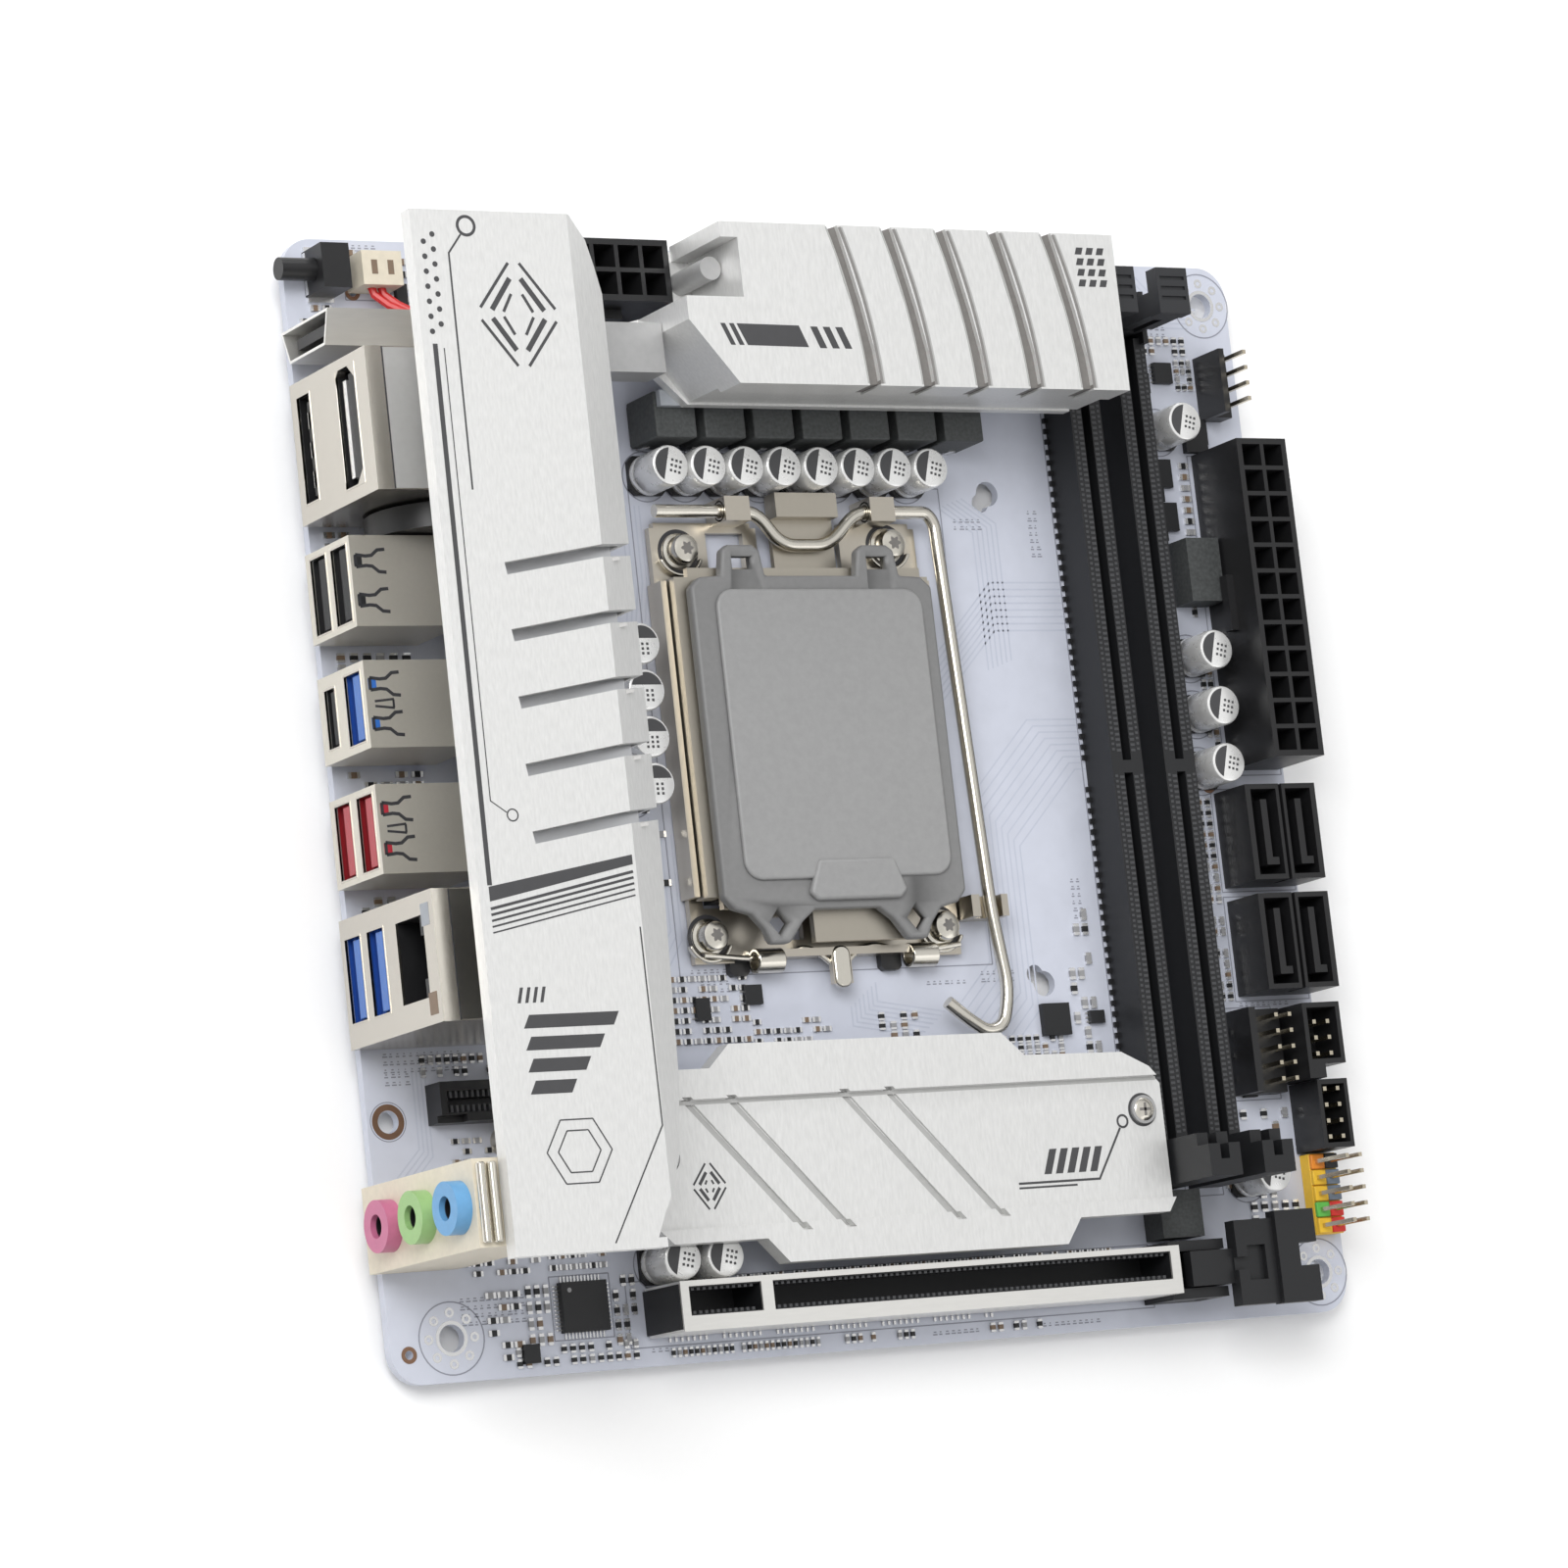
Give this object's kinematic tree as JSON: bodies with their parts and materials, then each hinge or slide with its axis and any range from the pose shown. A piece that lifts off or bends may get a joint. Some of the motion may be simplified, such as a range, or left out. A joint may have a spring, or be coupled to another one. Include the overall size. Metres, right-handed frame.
{
  "type": "computer motherboard",
  "caption": "Small square computer motherboard with finned heatsinks, a port cover, a processor socket with a lever, memory slots, an expansion slot and rear ports.",
  "frame": {"origin": "centre of the case mounting hole nearest both the rear port edge and the expansion slot, on the underside of the board", "axes": "+X from the rear ports towards the power connector edge, +Y from the expansion slot towards the power stage heatsink, +Z out of the component side of the board"},
  "size_m": [0.1746, 0.1701, 0.0414],
  "materials": {
    "board": "satin solder mask",
    "dark_steel": "satin",
    "nickel": "satin",
    "silver_paint": "satin",
    "bare_aluminium": "satin",
    "dark_fins": "satin",
    "can_aluminium": "satin",
    "choke_grey": "matt",
    "pad_grey": "matt",
    "grey_plastic": "matt",
    "black_plastic": "satin",
    "dark_plastic": "matt",
    "gold": "polished",
    "yellow_plastic": "satin",
    "blue_plastic": "gloss",
    "red_plastic": "gloss",
    "cream_plastic": "satin",
    "pink_plastic": "satin",
    "green_plastic": "satin",
    "sky_plastic": "satin",
    "cell_wrap": "satin",
    "red_insulation": "satin"
  },
  "bodies": {
    "board": {"pcb": "board", "socket_backplate": "dark_steel", "cpu_socket": "black_plastic", "socket_frame": "nickel", "socket_screws": "nickel", "lever_catch": "nickel", "vrm_heatsink": "silver_paint", "vrm_base_plate": "bare_aluminium", "thermal_pads": "pad_grey", "vrm_transistors": "black_plastic", "vrm_chokes": "choke_grey", "vrm_capacitors": "can_aluminium", "heatsink_screws": "nickel", "io_cover": "silver_paint", "io_heatsink": "dark_fins", "heat_bridge": "bare_aluminium", "standoffs": "nickel", "m2_heatsink": "silver_paint", "m2_socket": "black_plastic", "wifi_socket": "black_plastic", "chips": "black_plastic", "inductors": "choke_grey", "expansion_slot": "dark_plastic", "slot_shield": "nickel", "memory_slot_a": "black_plastic", "memory_slot_b": "black_plastic", "main_power_socket": "black_plastic", "cpu_power_socket": "black_plastic", "drive_socket_upper": "black_plastic", "drive_socket_lower": "black_plastic", "fan_header": "black_plastic", "header_shrouds": "black_plastic", "connector_pins": "gold", "front_panel_header": "yellow_plastic", "power_button_housing": "nickel", "upright_video_port": "nickel", "stacked_video_ports": "nickel", "black_port_stack": "nickel", "mixed_port_stack": "nickel", "red_port_stack": "nickel", "network_port_stack": "nickel", "black_port_tongues": "black_plastic", "blue_port_tongues": "blue_plastic", "red_port_tongues": "red_plastic", "network_jack_insert": "black_plastic", "audio_block": "cream_plastic", "audio_clip": "nickel", "audio_jack_pink": "pink_plastic", "audio_jack_green": "green_plastic", "audio_jack_blue": "sky_plastic", "coin_cell": "cell_wrap", "cell_lead": "red_insulation", "lead_connector": "cream_plastic"},
    "lever": {"load_lever": "nickel"},
    "load_plate": {"load_plate": "nickel", "socket_cap": "grey_plastic"},
    "memory_latch_a": {"memory_latch_a": "dark_plastic"},
    "memory_latch_b": {"memory_latch_b": "dark_plastic"},
    "slot_latch": {"slot_latch": "dark_plastic"},
    "power_button": {"power_button": "black_plastic"}
  },
  "joints": [
    {"name": "lever_hinge", "type": "hinge", "parent": "board", "child": "lever", "pos_m": [0.06984, 0.12185, 0.006], "axis": [-1, 0, 0], "range_deg": [0, 112]},
    {"name": "load_plate_hinge", "type": "hinge", "parent": "board", "child": "load_plate", "pos_m": [0.06984, 0.12185, 0.006], "axis": [-1, 0, 0], "range_deg": [0, 101]},
    {"name": "memory_latch_a_hinge", "type": "hinge", "parent": "board", "child": "memory_latch_a", "pos_m": [0.12484, 0.15325, 0.005], "axis": [-1, 0, 0], "range_deg": [0, 25]},
    {"name": "memory_latch_b_hinge", "type": "hinge", "parent": "board", "child": "memory_latch_b", "pos_m": [0.13484, 0.15325, 0.005], "axis": [-1, 0, 0], "range_deg": [0, 25]},
    {"name": "slot_latch_hinge", "type": "hinge", "parent": "board", "child": "slot_latch", "pos_m": [0.12884, 0.00165, 0.0058], "axis": [0, 1, 0], "range_deg": [0, 12], "stiffness_Nm_per_rad": 0.004, "springref_deg": -5.73},
    {"name": "power_button_slide", "type": "slide", "parent": "board", "child": "power_button", "axis": [1, 0, 0], "range_m": [0, 0.0004], "stiffness_N_per_m": 600}
  ],
  "couplings": [
    {"joint": "load_plate_hinge", "follows": "lever_hinge", "ratio": 0.9}
  ]
}
